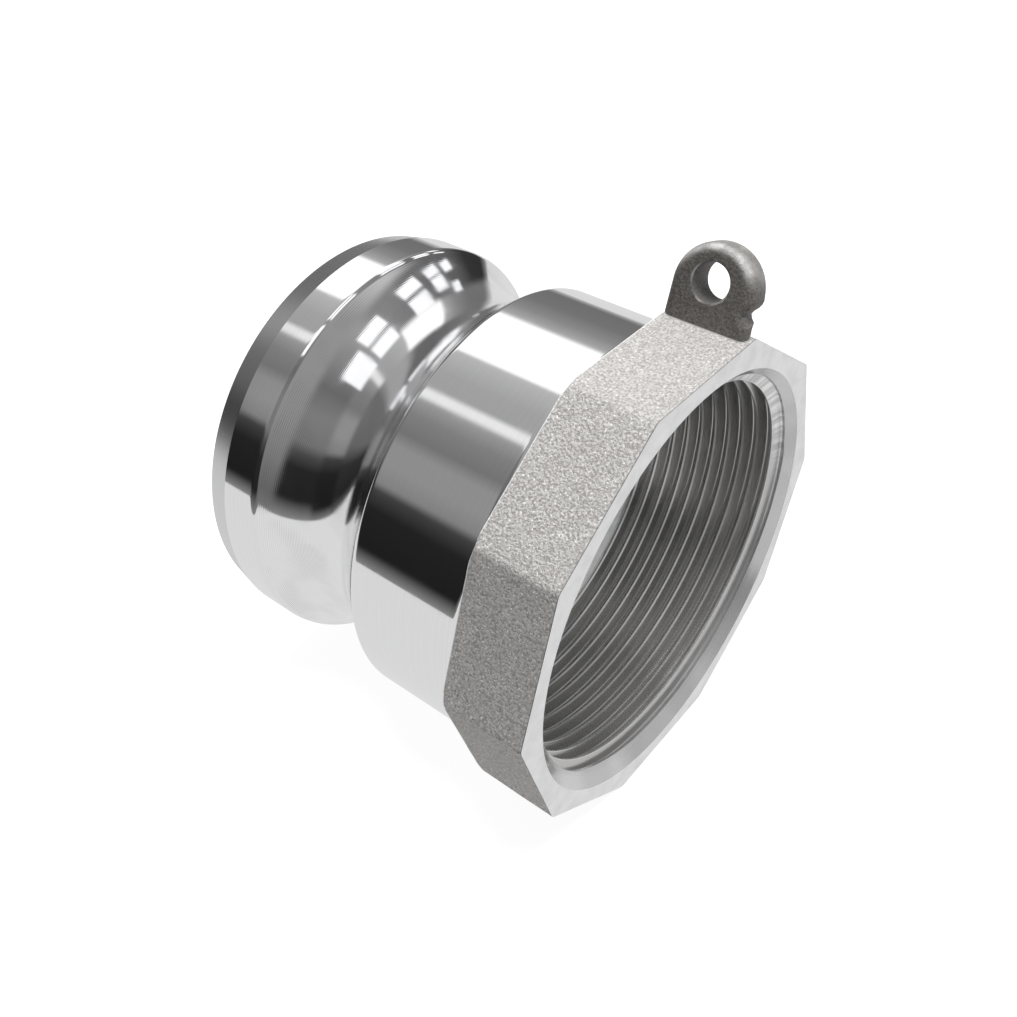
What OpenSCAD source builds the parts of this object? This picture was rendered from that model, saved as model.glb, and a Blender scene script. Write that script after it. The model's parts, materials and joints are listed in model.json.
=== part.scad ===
// Male cam and groove adapter with a female two-inch parallel pipe thread.
// One aluminium casting, turned on the nose, collar, groove, mouth and bore.
// It lies on a flat of its wrench body: +X leaves the threaded mouth, +Z is up,
// and the origin is the centre of the threaded mouth.

/* [Wrench body] */
// Height of the ten flats above the collar
flat_rise = 1.9; // [1.3:0.1:5]
// Length of the wrench body along the bore
wrench_len = 12.3; // [9:0.1:16]
// Radial amount turned off the back corners
corner_turn = 0.8; // [0.2:0.1:1.2]
// Length of the turned-off back corners along the bore
corner_back = 1.2; // [0.4:0.1:3]

/* [Threaded mouth] */
// Minor radius of the thread, where its crests lie
thread_minor_r = 28.328; // [20.328:0.1:40.328]
// Length from the mouth to the last thread
thread_len = 25; // [16:0.5:25]
// Pitch of the thread
thread_pitch = 2.309; // [1.6:0.1:2.4]
// Radial width of the countersink at the mouth
mouth_chamfer = 2.55; // [1.6:0.05:2.8]
// Depth of the countersink
mouth_depth = 2.4; // [1.2:0.1:4]
// Radial depth of the relief behind the last thread, below the crests
relief_depth = 1.5; // [0.6:0.1:1.6]
// Length of the relief along the bore
relief_len = 2.6; // [1:0.1:3]

/* [Collar] */
// Wall of the turned collar, outside the relief behind the thread
collar_wall = 1.672; // [1.472:0.1:4.472]
// Length of the collar from the wrench body to the groove's edge round
collar_len = 18.1; // [17:0.1:26]
// Radius of the fillet between collar and wrench body
collar_fillet = 1.8; // [0.3:0.1:1.8]
// Radius of the round between collar and groove
collar_edge_r = 1.2; // [0.4:0.1:2]

/* [Cam groove] */
// Wall between the waterway and the bottom of the groove
groove_wall = 1.8; // [1.2:0.1:2.6]
// Radius of the groove's concave arc
groove_arc_r = 13; // [11:0.1:16]

/* [Nose] */
// Depth of the groove below the nose that enters the coupler
groove_depth = 4; // [3:0.1:4.6]
// Radius of the rounded lip between nose and groove
nose_lip_r = 1.6; // [0.6:0.1:2.4]
// Length of the full-size land on the nose
land_len = 5.2; // [3:0.1:9]
// Length of the lead-in taper at the end of the nose
taper_len = 4.2; // [2:0.1:6]
// Radial fall of the lead-in taper
taper_fall = 0.8; // [0.3:0.1:1.6]
// Bevel round the outside of the end face
end_bevel = 0.5; // [0.2:0.1:1]

/* [Waterway] */
// Step in radius from the thread's crests in to the plain waterway
waterway_step = 2.928; // [1.928:0.1:3.928]
// Bevel where the waterway leaves the nose
waterway_bevel = 0.8; // [0.3:0.1:1.5]

/* [Chain ear] */
// Thickness of the ear
ear_t = 4.4; // [3.5:0.1:6]
// Height of the ear's round above the wrench body's corner, to its centre
ear_rise = 4.1; // [3.5:0.1:8]
// How far the ear's round stands back from the faced mouth
ear_back = 0.9; // [0.3:0.1:2]
// Radius of the fillet at the foot of the ear
ear_root_r = 0.6; // [0.4:0.1:2]
// Radius of the hole through the ear
ear_hole_r = 2.45; // [1.5:0.05:3]
// Height of the hole above the centre of the ear's round
ear_hole_rise = 0.9; // [0:0.1:1.2]
// Place of the hole behind the mouth
ear_hole_at = 6.8; // [6:0.1:7.3]

/* [Hidden] */
$fn = 180;
flats = 10;
half_turn = 180 / flats;
half_flank = 27.5;
mouth_r = thread_minor_r + mouth_chamfer;
relief_r = thread_minor_r + relief_depth;
collar_r = relief_r + collar_wall;
apothem = collar_r + flat_rise;
corner_r = apothem / cos(half_turn);
waterway_r = thread_minor_r - waterway_step;
groove_root_r = waterway_r + groove_wall;
nose_r = groove_root_r + groove_depth;
arc_steps = 24;
round_steps = 6;
over = 1;

// The groove's arc is centred outside the part, at this radius
groove_axis_r = groove_root_r + groove_arc_r;
// Axial reach from the middle of the groove to the start of a round of radius q
// that joins the arc to a cylinder of radius r
function reach(r, q) = sqrt(pow(groove_arc_r + q, 2) - pow(groove_axis_r - r + q, 2));
// Angle at the arc's centre between the groove's bottom and that round
function lean(r, q) = acos((groove_axis_r - r + q) / (groove_arc_r + q));
collar_end = wrench_len + collar_len;
groove_mid = collar_end + reach(collar_r, collar_edge_r);
land_start = groove_mid + reach(nose_r, nose_lip_r);
taper_start = land_start + land_len;
total_len = taper_start + taper_len;
taper_r = nose_r - taper_fall;
cone_start = thread_len + relief_len;
cone_end = cone_start + relief_r - waterway_r;

// The thread is drawn as rings of its own pitch, depth and flank angle, not as a helix
thread_root_r = thread_minor_r + 0.6403 * thread_pitch;
flank_len = (thread_root_r - thread_minor_r) * tan(half_flank);
crest_len = thread_pitch / 2 - flank_len;
rings = floor((thread_len - mouth_depth - crest_len) / thread_pitch);
first_ring = (mouth_depth + thread_len - rings * thread_pitch + crest_len) / 2;

// Points of an arc in the radius and length plane
function arc(centre, r, a0, a1, steps) =
    [for (i = [0:steps]) centre + r * [cos(a0 + (a1 - a0) * i / steps), sin(a0 + (a1 - a0) * i / steps)]];

// Outside of the turned part, as radius and distance behind the mouth
module turned_profile() {
    tip = lean(collar_r, collar_edge_r);
    lip = lean(nose_r, nose_lip_r);
    polygon(concat(
        [[0, 0], [collar_r + collar_fillet, 0]],
        arc([collar_r + collar_fillet, wrench_len + collar_fillet], collar_fillet, 270, 180, round_steps),
        arc([collar_r - collar_edge_r, collar_end], collar_edge_r, 0, tip, round_steps),
        arc([groove_axis_r, groove_mid], groove_arc_r, 180 + tip, 180 - lip, arc_steps),
        arc([nose_r - nose_lip_r, land_start], nose_lip_r, -lip, 0, round_steps),
        [[nose_r, taper_start], [taper_r, total_len - end_bevel], [taper_r - end_bevel, total_len], [0, total_len]]));
}

// One groove of the thread, from the crest before it to the crest behind it
function thread_ring(h) = [
    [thread_minor_r, h], [thread_root_r, h + flank_len],
    [thread_root_r, h + flank_len + crest_len], [thread_minor_r, h + 2 * flank_len + crest_len]];

// Countersink, thread, relief, cone and waterway
module bore_profile() {
    polygon(concat(
        [[0, -over], [mouth_r, -over], [mouth_r, 0], [thread_minor_r, mouth_depth]],
        [for (i = [0:rings - 1]) each thread_ring(first_ring + i * thread_pitch)],
        [[thread_minor_r, thread_len], [relief_r, thread_len], [relief_r, cone_start],
        [waterway_r, cone_end], [waterway_r, total_len - waterway_bevel],
        [waterway_r + waterway_bevel, total_len], [waterway_r + waterway_bevel, total_len + over],
        [0, total_len + over]]));
}

// Ten-sided cast body, its back corners turned off to a cone
module wrench_body() {
    slope = corner_back / (corner_r - apothem);
    back_r = corner_r - corner_turn;
    intersection() {
        rotate(half_turn) linear_extrude(wrench_len) circle(r = corner_r, $fn = flats);
        rotate_extrude() polygon([
            [0, -over], [corner_r + over, -over],
            [corner_r + over, wrench_len - (corner_turn + over) * slope],
            [back_r, wrench_len], [0, wrench_len]]);
    }
}

// Side view of the ear: a foot the length of the wrench body, square at the back and
// drawn in at the front to meet a round head
module ear_outline() {
    head_r = (wrench_len - ear_back) / 2;
    head_at = wrench_len - head_r;
    away = norm([ear_rise, head_at]);
    slant = atan2(head_at, ear_rise) - asin(head_r / away);
    side = sqrt(away * away - head_r * head_r);
    polygon([
        [collar_r, 0], [corner_r, 0], [corner_r + side * cos(slant), side * sin(slant)],
        [corner_r + ear_rise, wrench_len], [collar_r, wrench_len]]);
    translate([corner_r + ear_rise, head_at]) circle(r = head_r);
}

// End view of the ear: a plate that flares into the two flats beside its corner
module ear_section() {
    side = ear_t / 2;
    foot = corner_r + (ear_root_r - (side + ear_root_r) * sin(half_turn)) / cos(half_turn);
    left = arc([foot, side + ear_root_r], ear_root_r, 180 + half_turn, 270, round_steps);
    right = [for (i = [len(left) - 1:-1:0]) [left[i][0], -left[i][1]]];
    polygon(concat(
        [[collar_r, left[0][1]]], left,
        [[corner_r + ear_rise + wrench_len, side], [corner_r + ear_rise + wrench_len, -side]],
        right, [[collar_r, -left[0][1]]]));
}

module chain_ear() {
    rotate(half_turn) difference() {
        intersection() {
            linear_extrude(wrench_len) ear_section();
            rotate([90, 0, 0]) linear_extrude(4 * ear_t, center = true) ear_outline();
        }
        translate([corner_r + ear_rise + ear_hole_rise, 0, ear_hole_at]) rotate([90, 0, 0])
            cylinder(r = ear_hole_r, h = 4 * ear_t, center = true);
    }
}

// The whole casting, laid down so that its bore runs along X
module adapter_body() {
    color("silver") rotate([0, -90, 0]) difference() {
        union() {
            wrench_body();
            chain_ear();
            rotate_extrude() turned_profile();
        }
        rotate_extrude() bore_profile();
    }
}

adapter_body();
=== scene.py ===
import json
import math

import bmesh
import bpy
from mathutils import Matrix, Vector, noise


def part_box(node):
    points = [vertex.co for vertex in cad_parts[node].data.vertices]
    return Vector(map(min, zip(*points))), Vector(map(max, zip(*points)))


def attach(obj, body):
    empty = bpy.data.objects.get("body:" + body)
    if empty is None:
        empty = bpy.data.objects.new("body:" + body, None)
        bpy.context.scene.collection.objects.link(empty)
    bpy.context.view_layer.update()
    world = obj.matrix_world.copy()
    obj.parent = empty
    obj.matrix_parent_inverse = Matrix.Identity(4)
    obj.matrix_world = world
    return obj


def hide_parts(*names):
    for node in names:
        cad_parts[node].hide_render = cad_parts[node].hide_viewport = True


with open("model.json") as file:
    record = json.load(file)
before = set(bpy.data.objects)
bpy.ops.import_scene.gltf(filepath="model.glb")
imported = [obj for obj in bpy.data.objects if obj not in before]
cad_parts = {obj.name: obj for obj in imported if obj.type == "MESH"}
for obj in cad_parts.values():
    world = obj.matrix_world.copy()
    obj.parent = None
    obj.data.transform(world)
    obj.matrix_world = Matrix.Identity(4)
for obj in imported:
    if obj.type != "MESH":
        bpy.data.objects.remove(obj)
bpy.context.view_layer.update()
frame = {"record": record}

mm = 0.001

# The camera stands close to the part, beside the threaded mouth and above it, so the mouth
# looks large and the nose small, as in the photograph.
camera = bpy.data.objects.new("camera", bpy.data.cameras.new("camera"))
camera.data.sensor_width = 36
camera.data.lens = 38.85
camera.data.clip_start = 5 * mm
camera.location = Vector((48.13, -95.89, 104.27)) * mm
camera.rotation_euler = [math.radians(a) for a in (49.27, 0.49, 38.75)]
bpy.context.scene.collection.objects.link(camera)
bpy.context.scene.camera = camera

# Nose, cam groove and collar: the outside of the aluminium casting, turned bright on a lathe
# from the wrench body to the end face. The groove takes the cams of the coupler's arms.
mounts = {m["name"]: m["dims"] for m in frame["record"]["mounts"]}
box_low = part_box("adapter_body")[0]
total_len = -box_low.x
apothem = -box_low.z
wrench_len = 12.3 * mm
nose_r = mounts["nose"]["r_mm"] * mm
waterway_r = mounts["waterway"]["r_mm"] * mm
flat_rise = 1.9 * mm
collar_r = apothem - flat_rise
collar_fillet = 1.8 * mm
collar_len = 18.1 * mm
collar_end = wrench_len + collar_len
collar_edge = 1.2 * mm
groove_arc = 13 * mm
groove_depth = 4 * mm
groove_axis_r = nose_r - groove_depth + groove_arc
nose_lip = 1.6 * mm
taper_len = 4.2 * mm
taper_start = total_len - taper_len
taper_fall = 0.8 * mm
taper_r = nose_r - taper_fall
end_bevel = 0.5 * mm
waterway_bevel = 0.8 * mm
guard = 0.12 * mm
collar_lean = math.acos((groove_axis_r - collar_r + collar_edge) / (groove_arc + collar_edge))
lip_lean = math.acos((groove_axis_r - nose_r + nose_lip) / (groove_arc + nose_lip))
groove_mid = collar_end + (groove_arc + collar_edge) * math.sin(collar_lean)
land_start = groove_mid + (groove_arc + nose_lip) * math.sin(lip_lean)
flats = 10
half_turn = math.pi / flats
flat_steps = 28
around = flat_steps * flats
weld = 0.002 * mm
finishes = []
casting = bmesh.new()


class Wire:
    """An output of a material's nodes. Sums on it add Math nodes, and node adds any other."""

    def __init__(self, tree, socket=None):
        self.tree = tree
        self.socket = socket

    def node(self, kind, settings, values, output=0):
        made = self.tree.nodes.new("ShaderNode" + kind)
        for name, setting in settings.items():
            if name == "stops":
                stops = made.color_ramp.elements
                while len(stops) < len(setting):
                    stops.new(1)
                for stop, (place, shade) in zip(stops, setting):
                    stop.position = place
                    stop.color = (shade, shade, shade, 1)
            else:
                setattr(made, name, setting)
        for name, value in values.items():
            if isinstance(value, Wire):
                self.tree.links.new(value.socket, made.inputs[name])
            else:
                made.inputs[name].default_value = value
        return Wire(self.tree, made.outputs[output])

    def math(self, operation, first, second=0.0):
        return self.node("Math", {"operation": operation}, {0: first, 1: second})

    def vector(self, operation, first, second, output="Vector"):
        return self.node("VectorMath", {"operation": operation}, {0: first, 1: second}, output)

    def rise(self, low, high):
        """Goes smoothly from 0 at low to 1 at high."""
        return self.node("MapRange", {"interpolation_type": "SMOOTHSTEP"},
                         {"Value": self, "From Min": low, "From Max": high})

    def shade(self, first, second):
        """Mixes two colours by this value."""
        return self.node("Mix", {"data_type": "RGBA"}, {0: self, 6: first, 7: second}, 2)

    def __add__(self, other):
        return self.math("ADD", self, other)

    def __sub__(self, other):
        return self.math("SUBTRACT", self, other)

    def __rsub__(self, other):
        return self.math("SUBTRACT", other, self)

    def __mul__(self, other):
        return self.math("MULTIPLY", self, other)

    __radd__ = __add__
    __rmul__ = __mul__


class Finish:
    """A bare metal finish with its measures: place, depth from the mouth, and bore radius."""

    def __init__(self, name, metallic, roughness, colour):
        self.material = bpy.data.materials.new(name)
        self.material.use_nodes = True
        self.tree = self.material.node_tree
        self.shader = self.tree.nodes["Principled BSDF"]
        self.shader.inputs["Metallic"].default_value = metallic
        self.shader.inputs["Roughness"].default_value = roughness
        self.shader.inputs["Base Color"].default_value = (*colour, 1)
        self.wire = Wire(self.tree)
        self.place = self.wire.node("TexCoord", {}, {}, "Object")
        self.depth = self.wire.vector("DOT_PRODUCT", self.place, (-1, 0, 0), "Value")
        spread = self.wire.vector("MULTIPLY", self.place, (0, 1, 1))
        self.radius = self.wire.vector("LENGTH", spread, (0, 0, 0), "Value")
        self.index = len(finishes)
        finishes.append(self.material)

    def speckle(self, per_mm, detail=2.0, roughness=0.5):
        """Even noise over the surface, with so many grains to the millimetre."""
        return self.wire.node("TexNoise", {}, {
            "Vector": self.place, "Scale": per_mm / mm, "Detail": detail, "Roughness": roughness})

    def rings(self, per_mm, detail=2.0):
        """Tool marks round the bore, spaced along the surface in both depth and radius."""
        along = (self.depth + self.radius * 1.31) * (per_mm / mm)
        return self.wire.node("TexNoise", {"noise_dimensions": "1D"},
                              {"W": along, "Scale": 1.0, "Detail": detail})

    def bump(self, height, strength, distance):
        return self.wire.node("Bump", {}, {
            "Height": height, "Strength": strength, "Distance": distance * mm})

    def feed(self, **links):
        for name, value in links.items():
            self.tree.links.new(value.socket, self.shader.inputs[name.replace("_", " ")])


def arc(depth, radius, size, start, end, steps):
    """Points of an arc as (depth behind the mouth, radius); angles run from straight out."""
    turns = [start + (end - start) * i / steps for i in range(steps + 1)]
    return [(depth + size * math.sin(a), radius + size * math.cos(a)) for a in turns]


def add(part, finish):
    """Gives a part's faces their finish and joins it to the casting."""
    for face in part.faces:
        face.material_index = finish.index
    mesh = bpy.data.meshes.new("part")
    part.to_mesh(mesh)
    part.free()
    casting.from_mesh(mesh)
    bpy.data.meshes.remove(mesh)


def turn(line, finish, pitch=0.0, trim=None):
    """Spins a line of (depth, radius) points once round the bore, forward by one pitch."""
    part = bmesh.new()
    verts = [part.verts.new((-depth, 0, radius)) for depth, radius in line]
    edges = [part.edges.new(pair) for pair in zip(verts, verts[1:])]
    bmesh.ops.spin(part, geom=verts + edges, cent=(0, 0, 0), axis=(1, 0, 0),
                   dvec=(pitch / around, 0, 0), angle=2 * half_turn, steps=around // flats)
    bmesh.ops.spin(part, geom=part.verts[:] + part.edges[:] + part.faces[:], cent=(0, 0, 0),
                   axis=(1, 0, 0), dvec=(pitch / flats, 0, 0), steps=flats - 1,
                   angle=2 * half_turn * (flats - 1), use_duplicate=True)
    if trim:
        trim(part)
    bmesh.ops.remove_doubles(part, verts=part.verts, dist=weld)
    add(part, finish)


turned = Finish("turned_bright", 1, 0.09, (0.9, 0.9, 0.905))
streaks = turned.speckle(0.25, 3).rise(0.35, 0.75)
ring_tone_and_edge_highlight = (turned.rings(3, 3).rise(0.35, 0.65) + turned.speckle(0.9, 4)) * 0.5
turned.feed(Base_Color=ring_tone_and_edge_highlight.shade((0.885, 0.885, 0.89, 1), (0.92, 0.92, 0.92, 1)),
            Normal=turned.bump(turned.rings(5), 0.05, 0.02),
            Roughness=streaks * 0.04 + 0.05)

groove = Finish("turned_groove", 1, 0.1, (0.88, 0.88, 0.885))
tool_feed = 0.22 * mm
feed_marks = groove.wire.math("SINE", groove.depth * (2 * math.pi / tool_feed))
ribbed = (feed_marks * 0.5 + 0.5) * (0.3 + groove.speckle(0.12).rise(0.4, 0.6) * 0.7)
groove.feed(Base_Color=ribbed.shade((0.95, 0.95, 0.955, 1), (0.75, 0.75, 0.76, 1)),
            Normal=groove.bump(feed_marks + groove.rings(9), 0.15, 0.004),
            Roughness=groove.speckle(0.3).rise(0.4, 0.7) * 0.06 + 0.06)

taper = Finish("turned_taper", 1, 0.26, (0.76, 0.76, 0.77))
taper.feed(Normal=taper.bump(taper.rings(6), 0.1, 0.02))

turn(arc(wrench_len + collar_fillet, collar_r + collar_fillet, -collar_fillet,
         math.pi / 2, 0, 14)
     + [(wrench_len + collar_fillet + guard, collar_r), (collar_end - guard, collar_r)]
     + arc(collar_end, collar_r - collar_edge, collar_edge, 0, collar_lean, 10), turned)
turn(arc(groove_mid, groove_axis_r, -groove_arc, collar_lean, -lip_lean, 44), groove)
turn(arc(land_start, nose_r - nose_lip, nose_lip, -lip_lean, 0, 10)
     + [(land_start + guard, nose_r), (taper_start, nose_r)], turned)
turn([(taper_start, nose_r), (total_len - end_bevel, taper_r),
      (total_len, taper_r - end_bevel)], taper)

# Waterway and pipe thread: bored from the mouth, with a countersink, a two-inch parallel
# thread cut as one helix, a relief behind it, and a cone down to the plain waterway.
pitch = 25.4 / 11 * mm
crest_r = mounts["thread"]["r_mm"] * mm
crest_half = 0.15 * mm
thread_depth = 0.640327 * pitch
root_r = crest_r + thread_depth
root_round = 0.4 * mm
flank = math.radians(62.5)
mouth_chamfer = 2.55 * mm
mouth_r = crest_r + mouth_chamfer
mouth_depth = 2.4 * mm
relief_depth = 1.5 * mm
relief_r = crest_r + relief_depth
thread_end = 25 * mm
run_out = 0.4 * mm
relief_len = 2.6 * mm
cone_start = thread_end + relief_len
cone_end = cone_start + relief_r - waterway_r
thread_line = []
for lap in range(-1, 13):
    crest = [(lap * pitch - crest_half, crest_r), (lap * pitch + crest_half, crest_r)]
    root = arc((lap + 0.5) * pitch, root_r - root_round, root_round, -flank, flank, 6)
    after = [((lap + 1) * pitch - crest_half, crest_r)]
    for here, there in ((crest, root), (root, after)):
        thread_line += here
        thread_line += [tuple(Vector(here[-1]).lerp(Vector(there[0]), share))
                        for share in (0.2, 0.5, 0.8)]


def trim_thread(part):
    """Cuts the helix off at the countersink in front and at the relief behind."""
    for vert in part.verts:
        spin_r = math.hypot(vert.co.y, vert.co.z)
        depth = min(max(-vert.co.x, 0), thread_end + run_out)
        wanted = spin_r
        if depth < mouth_depth:
            wanted = max(spin_r, crest_r + (mouth_r - crest_r) * (1 - depth / mouth_depth))
        if depth > thread_end:
            wanted = relief_r
        vert.co = (-depth, vert.co.y * wanted / spin_r, vert.co.z * wanted / spin_r)


thread = Finish("thread_satin", 0.86, 0.2, (0.57, 0.565, 0.555))
# Painted highlight: the thread's crests are painted brighter than its flanks and roots.
crest_highlight = 1 - thread.radius.rise(crest_r + 0.02 * mm, crest_r + 0.1 * mm)
sunk = 1 - thread.depth.rise(2.2 * mm, 2.9 * mm)
band = thread.depth.rise(1.25 * mm, 1.4 * mm) * sunk
bearing = thread.wire.vector("MULTIPLY", thread.place, (0, 1, 1))
bearing = thread.wire.node("VectorMath", {"operation": "NORMALIZE"}, {0: bearing})
chatter = thread.wire.node("TexNoise", {}, {"Vector": bearing, "Scale": 24.0,
                                            "Detail": 2.0}).rise(0.38, 0.62)
level = thread.wire.vector("DOT_PRODUCT", thread.place, (0, 0, 1), "Value")
chips = band * chatter * level.rise(-4 * mm, 12 * mm)
patches = thread.wire.node("TexNoise", {}, {"Vector": bearing, "Scale": 3.0,
                                            "Detail": 1.0}).rise(0.35, 0.65)
sink_skin = patches.shade((0.58, 0.575, 0.58, 1), (0.67, 0.67, 0.67, 1))
skin = sunk.shade((0.57, 0.565, 0.555, 1), sink_skin)
skin = crest_highlight.shade(skin, (0.82, 0.82, 0.82, 1))
skin = chips.shade(skin, (0.98, 0.98, 0.98, 1))
thread.feed(Base_Color=skin, Roughness=band * 0.12 + 0.2,
            Normal=thread.bump(thread.rings(7, 3) + chips * 6, 0.25, 0.02))

faced = Finish("faced_satin", 1, 0.36, (0.9, 0.9, 0.9))
wiped = faced.speckle(0.35, 4, 0.6).rise(0.3, 0.75)
faced.feed(Base_Color=wiped.shade((0.98, 0.98, 0.98, 1), (0.88, 0.88, 0.89, 1)),
           Normal=faced.bump(faced.rings(5, 3), 0.2, 0.02),
           Roughness=wiped * 0.1 + 0.3)

turn(thread_line, thread, pitch, trim_thread)
turn([(thread_end + run_out, relief_r), (cone_start, relief_r), (cone_end, waterway_r),
      (total_len - waterway_bevel, waterway_r),
      (total_len, waterway_r + waterway_bevel), (total_len, taper_r - end_bevel)], faced)

# Wrench body: ten flats left as cast, with the grain of the sand mould, faced off at the
# mouth and turned off at the collar, where a cone trims its back corners.
corner_r = apothem / math.cos(half_turn)
corner_round = 1.3 * mm * math.tan(half_turn)
corner_turn = 0.6 * mm
corner_back = 1.2 * mm
grain_depth = 0.03 * mm
sharp = math.radians(10.5)
cast = Finish("cast_grain", 0.5, 0.6, (0.75, 0.73, 0.71))
grains = cast.speckle(2.9, 3, 0.6).rise(0.3, 0.7)
flecks = cast.speckle(3.6, 1).rise(0.6, 0.72)
mottle = cast.speckle(0.45, 2).rise(0.25, 0.8)
skin = grains.shade((0.27, 0.256, 0.246, 1), (0.54, 0.526, 0.512, 1))
skin = (mottle * 0.4).shade(skin, (0.36, 0.347, 0.336, 1))
skin = (flecks * 0.7).shade(skin, (0.8, 0.79, 0.78, 1))
# Painted shade: a dark line along the front edge of the flats, where the facing left a burr.
front_edge_shade = 1 - cast.depth.rise(0.06 * mm, 0.16 * mm)
skin = front_edge_shade.shade(skin, (0.16, 0.155, 0.15, 1))
# A lighter line along the back edge of the flats, where the turning meets the casting: partly the
# machined metal, partly painted highlight.
ring_tone_and_edge_highlight = cast.depth.rise(wrench_len - 0.14 * mm, wrench_len - 0.08 * mm)
cast.feed(Base_Color=ring_tone_and_edge_highlight.shade(skin, (0.7, 0.7, 0.7, 1)),
          Roughness=0.62 - grains * 0.14,
          Normal=cast.bump(grains, 0.9, 0.09))
wrench = bmesh.new()
blank = bmesh.ops.create_circle(wrench, cap_ends=True, segments=flats, radius=corner_r,
                                matrix=Matrix.Rotation(math.pi / 2, 4, "Y"))
bmesh.ops.bevel(wrench, geom=blank["verts"], offset=corner_round, affect="VERTICES",
                segments=5, profile=0.5, material=-1)
sides = [e for e in wrench.edges if e.calc_length() > 5 * mm]
bmesh.ops.subdivide_edges(wrench, edges=sides, cuts=flat_steps - 1)
bmesh.ops.delete(wrench, geom=wrench.faces[:], context="FACES_ONLY")
rim = wrench.edges[:]
rows = [0.15, 0.6, 1.4, 2.4, 3.5, 4.6, 5.7, 6.8, 7.9, 9, 10, 10.8, 11.4, 11.74, 12.02, 12.3]
for row in rows:
    made = bmesh.ops.extrude_edge_only(wrench, edges=rim)["geom"]
    ring = {v for v in made if isinstance(v, bmesh.types.BMVert)}
    for vert in ring:
        vert.co.x = -row * mm
    rim = [e for e in made if isinstance(e, bmesh.types.BMEdge)
           and all(v in ring for v in e.verts)]
back_slope = (corner_r - apothem) / corner_back
for vert in wrench.verts:
    spin_r = math.hypot(vert.co.y, vert.co.z)
    sink = grain_depth * (1 + noise.noise(vert.co * 320) + 0.5 * noise.noise(vert.co * 900))
    limit = corner_r - corner_turn + (wrench_len + vert.co.x) * back_slope
    wanted = min(spin_r - max(sink, 0), limit)
    vert.co.y *= wanted / spin_r
    vert.co.z *= wanted / spin_r
add(wrench, cast)
bmesh.ops.remove_doubles(casting, verts=casting.verts, dist=weld)
for depth, finish in ((0, faced), (wrench_len, turned)):
    loops = [e for e in casting.edges if e.is_boundary
             and all(abs(v.co.x + depth) < 0.003 * mm for v in e.verts)]
    for made in bmesh.ops.triangle_fill(casting, use_beauty=True, edges=loops)["geom"]:
        if isinstance(made, bmesh.types.BMFace):
            made.material_index = finish.index
bmesh.ops.dissolve_degenerate(casting, edges=casting.edges, dist=0.001 * mm)
bmesh.ops.recalc_face_normals(casting, faces=casting.faces)
for face in casting.faces:
    face.smooth = True
for edge in casting.edges:
    edge.smooth = edge.calc_face_angle(0) < sharp

# Chain ear: a cast plate that stands on one corner of the wrench body, rounded over at its
# rim and drilled for the ring of a dust cap's chain.
ear_t = mounts["ear_hole"]["length_mm"] * mm
ear_hole_r = mounts["ear_hole"]["r_mm"] * mm
ear_back = 0.9 * mm
ear_head_r = (wrench_len - ear_back) / 2
ear_head_at = wrench_len - ear_head_r
ear_rise = 4.1 * mm
hole_back = 6.8 * mm
hole_up = 0.9 * mm
ear_hole_at = Vector((ear_head_at - hole_back, hole_up, 0))
ear_rim = 1.4 * mm
ear_chamfer = 0.3 * mm
foot_gap = 0.12 * mm
foot_lean = 0.35
nick_at, nick_half, nick_deep = 1.7, 0.8, 0.75
lug_at, lug_half, lug_high = 2.8, 0.4, 0.25
ear_foot = -ear_rise - 1.6 * mm
ear_up = Vector((0, math.sin(half_turn), math.cos(half_turn)))
ear_side = Vector((0, -math.cos(half_turn), math.sin(half_turn)))
lean = math.atan2(ear_head_at, ear_rise) - math.asin(
    ear_head_r / math.hypot(ear_head_at, ear_rise))
front = Vector((ear_head_at - foot_gap, -ear_rise))
touch = Vector((ear_head_r * math.cos(lean), ear_head_r * math.sin(lean)))
side_line = [Vector((-ear_head_r, 0)), Vector((-ear_head_r, ear_foot)),
             Vector((front.x, ear_foot)), front, touch]
lengths = [(b - a).length for a, b in zip(side_line, side_line[1:])]

ear_metal = Finish("cast_ear", 0.55, 0.5, (0.25, 0.24, 0.23))
across = ear_metal.depth - ear_head_at
height = ear_metal.wire.vector("DOT_PRODUCT", ear_metal.place, tuple(ear_up), "Value")
above = ear_metal.wire.math("MAXIMUM", height - (corner_r + ear_rise), 0.0)
edge_r = ear_metal.wire.math("SQRT", across * across + above * above)
# Painted highlight: the rounded rim of the ear's head is painted lighter, more so towards the
# top, and made less rough there.
rim_highlight = edge_r.rise(ear_head_r - 1.3 * mm, ear_head_r - 0.5 * mm)
rim_highlight = rim_highlight * (1 - edge_r.rise(ear_head_r - 0.4 * mm, ear_head_r) * 0.6)
rim_highlight = rim_highlight * above.rise(1 * mm, 3.6 * mm)
drilled = ear_metal.wire.vector("SUBTRACT", ear_metal.place, tuple(
    Vector((-hole_back, 0, 0)) + ear_up * (corner_r + ear_rise + hole_up)))
hole_r = ear_metal.wire.vector("LENGTH", ear_metal.wire.vector("CROSS_PRODUCT", drilled,
                                                              tuple(ear_side)),
                               (0, 0, 0), "Value")
# Painted shade: the wall of the drilled hole is painted darker.
bore = 1 - hole_r.rise(ear_hole_r, ear_hole_r + 0.25 * mm)
grains = ear_metal.speckle(3.2, 3, 0.6).rise(0.3, 0.75)
blotch = ear_metal.speckle(0.5, 3).rise(0.35, 0.75)
skin = grains.shade((0.1, 0.093, 0.087, 1), (0.2, 0.188, 0.178, 1))
skin = (rim_highlight * (blotch * 0.6 + 0.4)).shade(skin, (0.6, 0.59, 0.58, 1))
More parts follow.
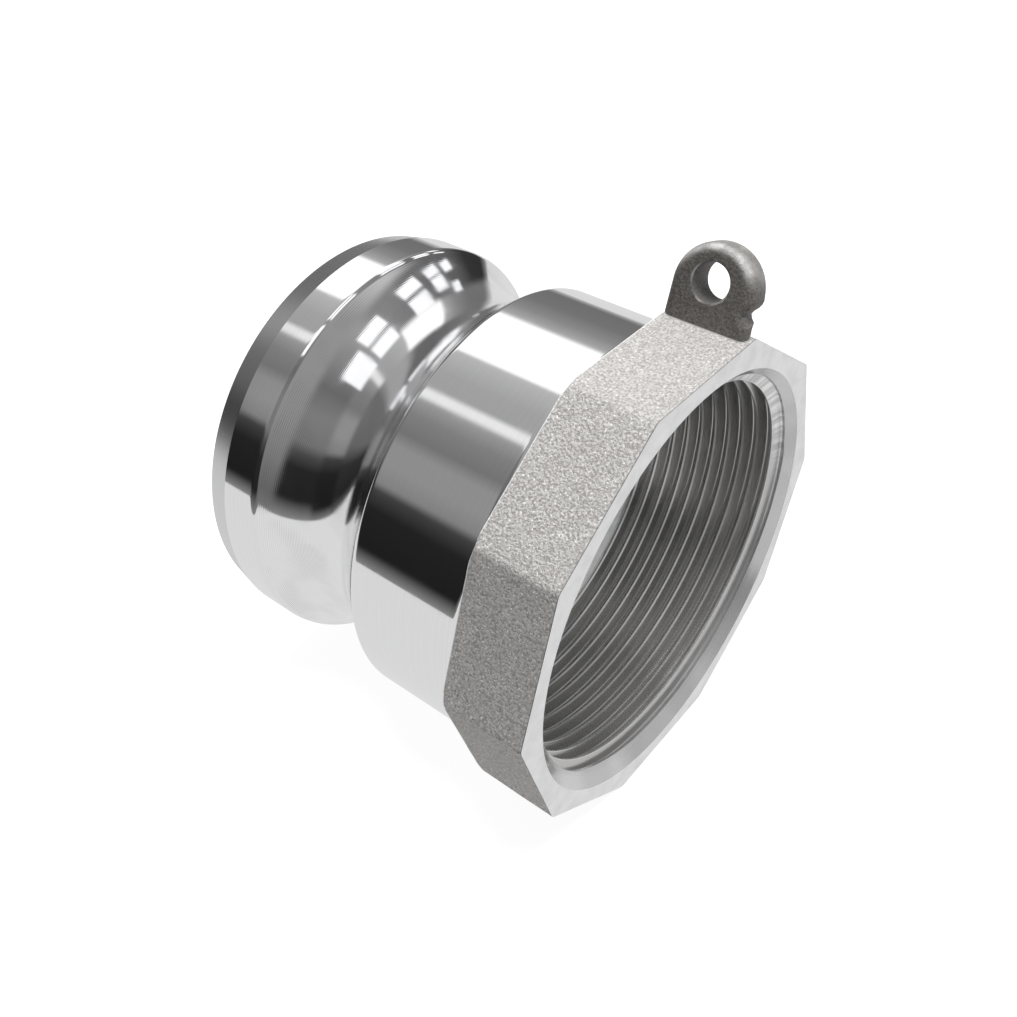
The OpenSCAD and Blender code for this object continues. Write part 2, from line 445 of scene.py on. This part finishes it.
# Painted highlight: a light ring on the chamfer round the hole.
chamfer_highlight = hole_r.rise(ear_hole_r + 0.02 * mm, ear_hole_r + 0.1 * mm)
chamfer_highlight = chamfer_highlight * (1 - hole_r.rise(ear_hole_r + 0.22 * mm, ear_hole_r + 0.32 * mm))
skin = (bore * 0.6).shade(skin, (0.13, 0.125, 0.12, 1))
skin = (chamfer_highlight * blotch * 0.6).shade(skin, (0.6, 0.59, 0.58, 1))
# Painted highlight: a light line along the crease where the ear meets the flats.
near_flat = ear_metal.wire.vector("DOT_PRODUCT", ear_metal.place, (0, 0, 1), "Value")
far_flat = ear_metal.wire.vector("DOT_PRODUCT", ear_metal.place, (
    0, math.sin(2 * half_turn), math.cos(2 * half_turn)), "Value")
crease_highlight = 1 - ear_metal.wire.math("MAXIMUM", near_flat, far_flat).rise(
    apothem + 0.1 * mm, apothem + 0.24 * mm)
skin = (crease_highlight * 0.8).shade(skin, (0.85, 0.84, 0.83, 1))
ear_metal.feed(Base_Color=skin, Roughness=0.52 - rim_highlight * 0.16,
               Normal=ear_metal.bump(grains, 0.4, 0.1))
ear = bmesh.new()
plate = bmesh.ops.create_circle(ear, segments=96, radius=ear_head_r)["verts"]
for vert in plate:
    share = (math.atan2(vert.co.y, vert.co.x) + math.pi) / (math.pi + lean)
    if share < 1 and vert.co.x > -ear_head_r + 0.001 * mm or vert.co.y < 0:
        left = share * sum(lengths)
        for a, b, length in zip(side_line, side_line[1:], lengths):
            if left <= length:
                break
            left -= length
        vert.co.xy = a.lerp(b, left / length)
        if vert.co.x > ear_head_r * 0.9:
            nick = math.exp(-((vert.co.y / mm + nick_at) / nick_half) ** 2)
            lug = math.exp(-((vert.co.y / mm + lug_at) / lug_half) ** 2)
            vert.co.x -= (nick_deep * nick - lug_high * lug) * mm
hole = bmesh.ops.create_circle(ear, segments=64, radius=ear_hole_r)["verts"]
bmesh.ops.translate(ear, verts=hole, vec=ear_hole_at)
bmesh.ops.triangle_fill(ear, use_beauty=True, edges=ear.edges[:])
back = bmesh.ops.extrude_face_region(ear, geom=ear.faces[:])["geom"]
bmesh.ops.translate(ear, verts=[v for v in back if isinstance(v, bmesh.types.BMVert)],
                    vec=(0, 0, ear_t))
bmesh.ops.recalc_face_normals(ear, faces=ear.faces)
square = [e for e in ear.edges if e.calc_face_angle(0) > 1.2
          and abs(e.verts[0].co.z - e.verts[1].co.z) < 0.01 * mm]
drill = [e for e in square if max((v.co.xy - ear_hole_at.xy).length for v in e.verts)
         < ear_hole_r + 0.01 * mm]
outer = [e for e in square if e not in drill and max(v.co.y for v in e.verts)
         > ear_foot + 0.01 * mm]
bmesh.ops.bevel(ear, geom=outer, offset=ear_rim, affect="EDGES", segments=6, profile=0.5,
                material=-1)
drill = [e for e in ear.edges if e.calc_face_angle(0) > 1.2
         and abs(e.verts[0].co.z - e.verts[1].co.z) < 0.01 * mm
         and max((v.co.xy - ear_hole_at.xy).length for v in e.verts) < ear_hole_r + 0.01 * mm]
bmesh.ops.bevel(ear, geom=drill, offset=ear_chamfer, affect="EDGES", segments=3, profile=0.5,
                material=-1)
for vert in ear.verts:
    if vert.co.x > 0 > vert.co.y:
        share = min(vert.co.x / (4 * mm), 1) * min(-vert.co.y / (3 * mm), 1)
        vert.co.x -= foot_lean * (ear_t - vert.co.z) * share
stand = Matrix((
    (1, 0, 0, -ear_head_at),
    (0, ear_up.y, ear_side.y, ear_up.y * (corner_r + ear_rise) - ear_side.y * ear_t / 2),
    (0, ear_up.z, ear_side.z, ear_up.z * (corner_r + ear_rise) - ear_side.z * ear_t / 2),
    (0, 0, 0, 1)))
bmesh.ops.transform(ear, matrix=stand, verts=ear.verts)
bmesh.ops.recalc_face_normals(ear, faces=ear.faces)
for face in ear.faces:
    face.material_index = ear_metal.index
    face.smooth = abs(face.normal.dot(ear_side)) < 0.999
for edge in ear.edges:
    edge.smooth = edge.calc_face_angle(0) < math.radians(30)


def piece(name, shape, materials):
    """Makes a mesh object of a shape."""
    mesh = bpy.data.meshes.new(name)
    shape.to_mesh(mesh)
    shape.free()
    made = bpy.data.objects.new(name, mesh)
    bpy.context.scene.collection.objects.link(made)
    for material in materials:
        mesh.materials.append(material)
    return made


for made in (piece("adapter_casting", casting, finishes), piece("chain_ear", ear, finishes)):
    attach(made, "root")
    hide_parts("adapter_body")

# Studio: a white sheet under the part and a plain white room. Panels of light and dark
# stand round it for the turned metal to reflect, and a soft lamp hangs overhead.
sheet = bmesh.new()
bmesh.ops.create_grid(sheet, x_segments=1, y_segments=1, size=0.5)
bmesh.ops.translate(sheet, verts=sheet.verts, vec=(0, 0.36, box_low.z))
paper = bpy.data.materials.new("white_sheet")
paper.use_nodes = True
wire = Wire(paper.node_tree)
matt = wire.node("BsdfDiffuse", {}, {"Color": (0.8, 0.8, 0.8, 1)})
glow = wire.node("Emission", {}, {"Strength": 1.16})
bounce = wire.node("Emission", {}, {"Strength": 0.74})
seen = wire.node("MixShader", {}, {0: 0.8, 1: matt, 2: glow})
dull = wire.node("BsdfDiffuse", {}, {"Color": (0.45, 0.45, 0.45, 1)})
lit = wire.node("MixShader", {}, {0: wire.node("LightPath", {}, {}, "Is Glossy Ray"),
                                  1: dull, 2: bounce})
both = wire.node("MixShader", {}, {0: wire.node("LightPath", {}, {}, "Is Camera Ray"),
                                   1: lit, 2: seen})
wire.tree.links.new(both.socket, wire.tree.nodes["Material Output"].inputs["Surface"])
floor = piece("floor", sheet, (paper,))

lamp = bpy.data.objects.new("lamp", bpy.data.lights.new("lamp", "AREA"))
lamp.data.shape = "DISK"
lamp.data.size = 0.35
lamp.data.energy = 7
lamp.location = (0.03, 0.02, 0.5)
lamp.visible_glossy = False
bpy.context.scene.collection.objects.link(lamp)

room = bpy.data.worlds.new("room")
room.use_nodes = True
bpy.context.scene.world = room
wire = Wire(room.node_tree)
way = wire.node("TexCoord", {}, {}, "Object")
ahead = wire.vector("DOT_PRODUCT", way, (1, 0, 0), "Value")
near = wire.vector("DOT_PRODUCT", way, (0, -1, 0), "Value")
up = wire.vector("DOT_PRODUCT", way, (0, 0, 1), "Value")
# Degrees round the bore: 0 is overhead, 90 is the camera's side of the part
tilt = wire.math("ARCTAN2", near, up) * (180 / math.pi)


def ramp(value, low, high, shades):
    """Reads a list of (value, screen shade) stops, turned into linear light."""
    stops = [((at - low) / (high - low), ((v + 0.055) / 1.055) ** 2.4) for at, v in shades]
    return wire.node("ValToRGB", {"stops": stops}, {0: (value - low) * (1 / (high - low))})


# The room in four zones, from far behind the nose to in front of the mouth
behind = ramp(tilt, -180, 180, [
    (-180, 0.75), (-119, 0.76), (-95, 0.76), (-89, 0.46), (-87, 0.45), (-72, 0.47), (-60, 0.56),
    (-51, 0.68), (-48, 1.1), (-16, 1.1), (-14, 0.74), (0, 0.66), (10, 0.65), (12.5, 0.95),
    (16, 0.95), (18.5, 0.62), (27, 0.52), (38, 0.47), (45, 0.58), (56, 0.58), (66, 0.53),
    (70, 0.26), (80, 0.14), (102, 0.12), (110, 0.5), (180, 0.7)])
beyond = ramp(tilt, -180, 180, [
    (-180, 0.6), (-100, 0.5), (-50, 0.42), (-24, 0.44), (-12, 0.66), (8, 0.66), (20, 0.45),
    (60, 0.42), (75, 0.2), (100, 0.15), (112, 0.4), (180, 0.6)])
before = ramp(tilt, -180, 180, [
    (-180, 0.75), (-119, 0.84), (-98, 0.72), (-90, 0.2), (-80, 0.22), (-70, 0.38), (-40, 0.46),
    (-15, 0.55), (0, 0.62), (25, 0.5), (35, 0.42), (50, 0.5), (66, 0.47), (72, 0.3),
    (80, 0.16), (98, 0.14), (108, 0.5), (180, 0.72)])
light = ahead.rise(-0.74, -0.67).shade(beyond, behind)
light = ahead.rise(-0.42, -0.28).shade(light, before)
# Window panes, as their span round the bore and their spans along it
panes = (((-60, -51), [(-0.25, -0.02), (0.01, 0.17)]),
         ((-45, -30), [(-0.36, -0.07), (0.0, 0.21)]),
         ((-69, -63), [(-0.38, -0.22), (-0.04, 0.12)]),
         ((-13, 5), [(-0.4, -0.14), (-0.07, 0.19)]),
         ((9, 27), [(-0.43, 0.04)]))
for (low, high), spans in panes:
    row = tilt.rise(low - 1, low + 1) * (1 - tilt.rise(high - 1, high + 1))
    for left, right in spans:
        pane = row * ahead.rise(left - 0.02, left + 0.02)
        pane = pane * (1 - ahead.rise(right - 0.02, right + 0.02))
        light = pane.shade(light, (1.15, 1.15, 1.17, 1))
facing = ramp(tilt, -180, 180, [
    (-180, 0.8), (-60, 0.76), (-30, 0.76), (-5, 0.6), (60, 0.56), (100, 0.4), (140, 0.6),
    (180, 0.8)])
light = ahead.rise(0.28, 0.45).shade(light, facing)
view = wire.node("LightPath", {}, {}, "Is Camera Ray").shade(light, (1, 1, 1, 1))
wire.tree.links.new(view.socket, wire.tree.nodes["Background"].inputs["Color"])
bpy.context.scene.view_settings.view_transform = "Standard"
